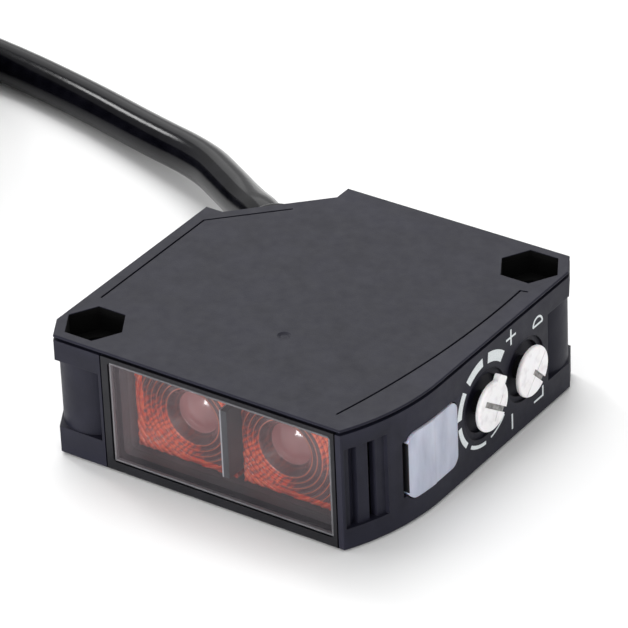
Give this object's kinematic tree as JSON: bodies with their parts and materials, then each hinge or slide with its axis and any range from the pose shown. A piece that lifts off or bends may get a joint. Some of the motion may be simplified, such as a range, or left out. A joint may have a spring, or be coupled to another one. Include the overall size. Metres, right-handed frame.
{
  "type": "photoelectric sensor",
  "caption": "Flat square photoelectric sensor with a smoked lens window, turnable sensitivity and mode dials, an indicator window, corner mounting holes and a fixed cable.",
  "frame": {"origin": "centre of the case's lower large face, under the middle of the 50 x 50 mm outline (the dials stand 1.4 mm proud of it)", "axes": "+Z out of the other large face, through the 17.8 mm thickness; -Y out of the lens face; +X out of the control face"},
  "size_m": [0.1934, 0.0909, 0.0196],
  "materials": {
    "case": "fine matte texture",
    "bezel": "semi-gloss black",
    "window": "polished smoky",
    "gasket": "matte",
    "optics_frame": "matte",
    "lens": "polished orange-red",
    "emitter": "clear red",
    "chip": "matte black",
    "steel": "satin",
    "can": "satin",
    "board": "solder-mask green",
    "pins": "tinned",
    "indicator": "milky translucent",
    "lamp_orange": "clear",
    "lamp_green": "clear",
    "dial": "semi-gloss off-white",
    "trimmer": "moulded",
    "print": "printed white",
    "sheath": "semi-gloss PVC",
    "tie": "moulded nylon",
    "core_brown": "PVC",
    "core_blue": "PVC",
    "core_black": "PVC",
    "copper": "tinned strands"
  },
  "bodies": {
    "sensor": {"case_shell": "case", "top_cover": "case", "front_bezel": "bezel", "front_window": "window", "window_gasket": "gasket", "lens_holder": "optics_frame", "light_baffle": "optics_frame", "emitter_lens": "lens", "receiver_lens": "lens", "emitter_led": "emitter", "receiver_photodiode": "chip", "shield_can": "steel", "optic_board": "board", "main_board": "board", "control_board": "board", "board_links": "pins", "signal_chip": "chip", "output_transistors": "chip", "capacitors": "can", "resistors": "chip", "indicator_window": "indicator", "operation_led": "lamp_orange", "stability_led": "lamp_green", "sensitivity_trimmer": "trimmer", "sensitivity_seal": "gasket", "mode_switch": "trimmer", "mode_seal": "gasket", "scale_marks": "print", "cable_bush": "sheath", "cable_entry": "sheath", "cable_crimp": "steel", "cable": "sheath", "cable_coil": "sheath", "cable_tie_1": "tie", "cable_tie_2": "tie", "lead_brown": "core_brown", "lead_blue": "core_blue", "lead_black": "core_black", "core_brown": "core_brown", "core_blue": "core_blue", "core_black": "core_black", "core_tips": "copper"},
    "sensitivity_dial": {"sensitivity_dial": "dial"},
    "mode_dial": {"mode_dial": "dial"}
  },
  "joints": [
    {"name": "sensitivity_turn", "type": "hinge", "parent": "sensor", "child": "sensitivity_dial", "pos_m": [0.025, 0.00105, 0.0089], "axis": [1, 0, 0], "range_deg": [0, 260]},
    {"name": "mode_turn", "type": "hinge", "parent": "sensor", "child": "mode_dial", "pos_m": [0.025, 0.01065, 0.0089], "axis": [1, 0, 0], "range_deg": [0, 90]}
  ]
}
